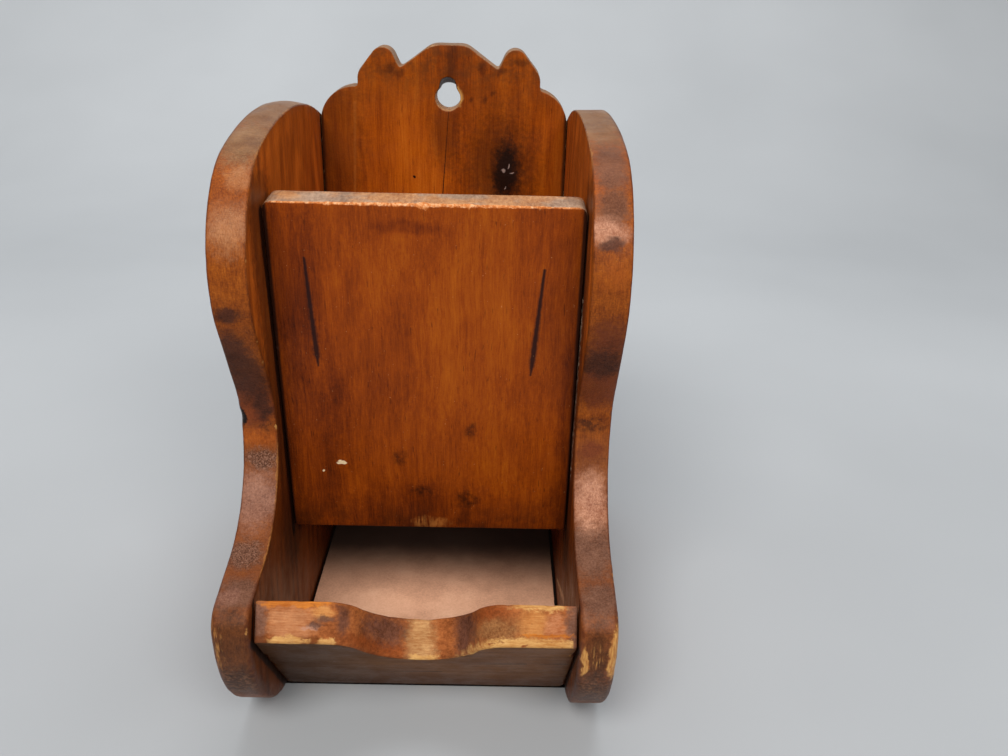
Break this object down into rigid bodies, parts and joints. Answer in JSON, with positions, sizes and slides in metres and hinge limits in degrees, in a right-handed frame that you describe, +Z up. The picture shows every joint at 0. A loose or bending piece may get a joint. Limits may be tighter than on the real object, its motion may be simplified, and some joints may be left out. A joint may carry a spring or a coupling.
{
  "type": "kitchen match box",
  "caption": "Nailed pine wall box shaped like a wing chair: a tall open hopper between scrolled sides drops boxes of matches to a scalloped tray at its foot.",
  "frame": {"origin": "centre of the box's footprint, on the surface that it stands on", "axes": "+X across the box to the user's right, +Y to the wall behind it, +Z up"},
  "size_m": [0.157, 0.221, 0.2686],
  "materials": {
    "side_wood": "dark stain under worn gloss varnish",
    "back_wood": "orange-brown stain under satin varnish",
    "front_wood": "orange-brown stain under gloss varnish",
    "lip_wood": "stain worn through to bare pine",
    "hardboard": "smooth pressed hardboard",
    "nail_steel": "darkened flat heads"
  },
  "bodies": {
    "root": {"left_side": "side_wood", "right_side": "side_wood", "back_board": "back_wood", "hopper_front": "front_wood", "tray_lip": "lip_wood", "floor_panel": "hardboard", "left_nails": "nail_steel", "right_nails": "nail_steel", "floor_brads": "nail_steel"}
  },
  "joints": []
}
